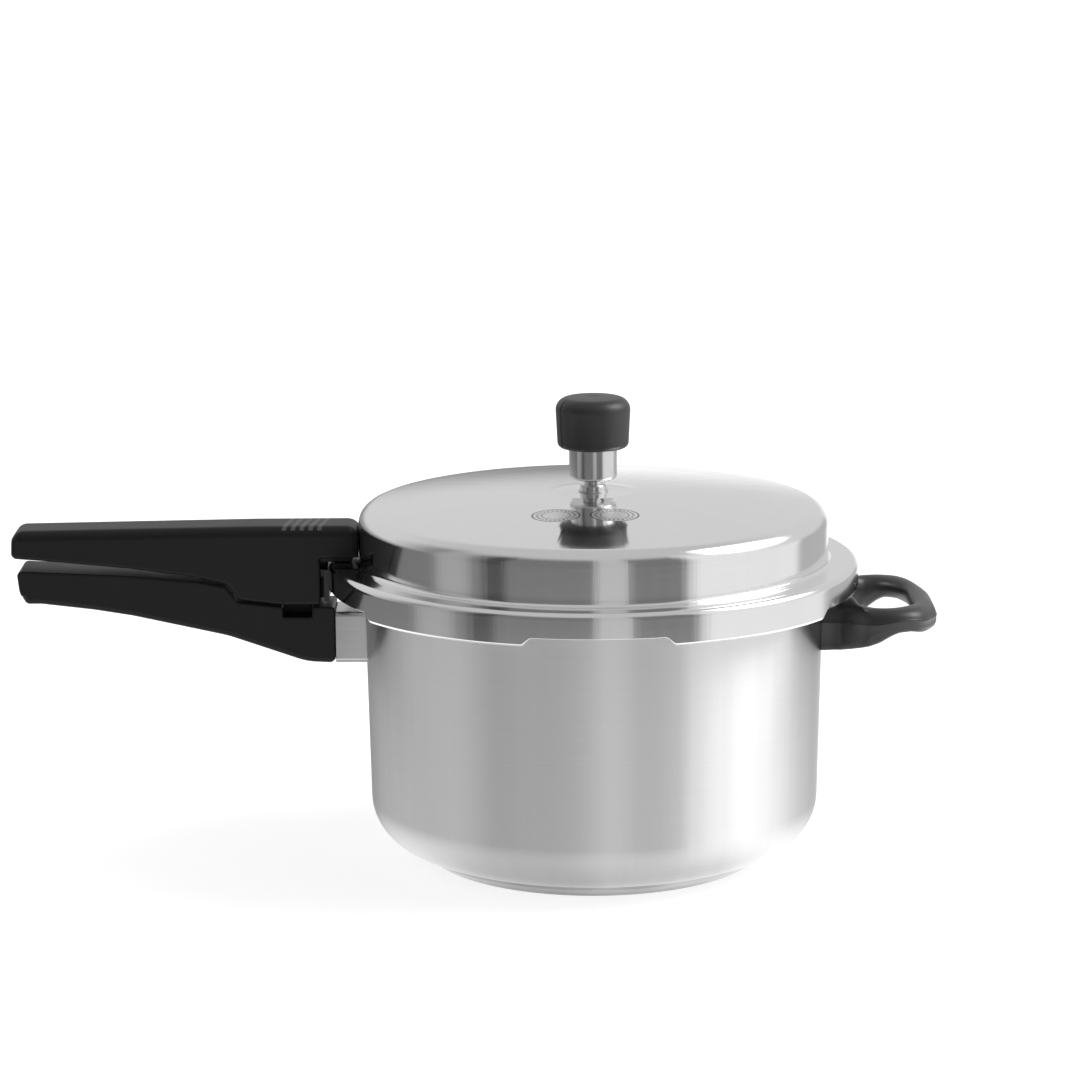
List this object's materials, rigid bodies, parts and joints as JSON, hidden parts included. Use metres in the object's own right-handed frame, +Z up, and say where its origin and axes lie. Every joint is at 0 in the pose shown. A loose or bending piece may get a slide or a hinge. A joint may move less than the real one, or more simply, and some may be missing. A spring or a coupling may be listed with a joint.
{
  "type": "stovetop pressure cooker",
  "caption": "Round steel pan with sandwich base, turn-to-lock outer lid, lift-off weight valve, paired long handles and a small loop handle opposite.",
  "frame": {"origin": "centre of the base's underside, on the pan's axis", "axes": "+Z up along the pan's axis, -X along the long handles, +X to the loop handle"},
  "size_m": [0.4093, 0.2346, 0.2066],
  "materials": {
    "stainless_steel": "polished stainless, with fine circumferential brushing",
    "black_bakelite": "satin phenolic moulding with a fine grain",
    "aluminium": "satin",
    "gasket_rubber": "matte",
    "fusible_alloy": "dull cast alloy",
    "brass": "turned"
  },
  "bodies": {
    "pan": {"pan_body": "stainless_steel", "base_core_disc": "aluminium", "base_cap": "stainless_steel", "pan_handle_bracket": "stainless_steel", "helper_bracket": "stainless_steel", "flame_guard": "stainless_steel", "lower_handle": "black_bakelite", "lower_handle_screw": "stainless_steel", "helper_handle": "black_bakelite", "helper_screw": "stainless_steel"},
    "lid": {"lid_shell": "stainless_steel", "sealing_gasket": "gasket_rubber", "lid_handle_bracket": "stainless_steel", "upper_handle": "black_bakelite", "upper_handle_screws": "stainless_steel", "vent_pipe": "stainless_steel", "vent_washer": "aluminium", "vent_nut": "stainless_steel", "safety_valve_body": "brass", "safety_valve_plug": "fusible_alloy", "safety_valve_washer": "gasket_rubber", "safety_valve_nut": "brass"},
    "weight": {"weight_body": "stainless_steel", "weight_cap": "black_bakelite", "weight_stud": "stainless_steel", "weight_pin": "stainless_steel", "weight_clip": "stainless_steel"}
  },
  "joints": [
    {"name": "lid_turn", "type": "hinge", "parent": "pan", "child": "lid", "pos_m": [0, 0, 0.126], "axis": [0, 0, 1], "range_deg": [0, 36]},
    {"name": "weight_lift", "type": "slide", "parent": "lid", "child": "weight", "axis": [0, 0, 1], "range_m": [0, 0.025]}
  ]
}
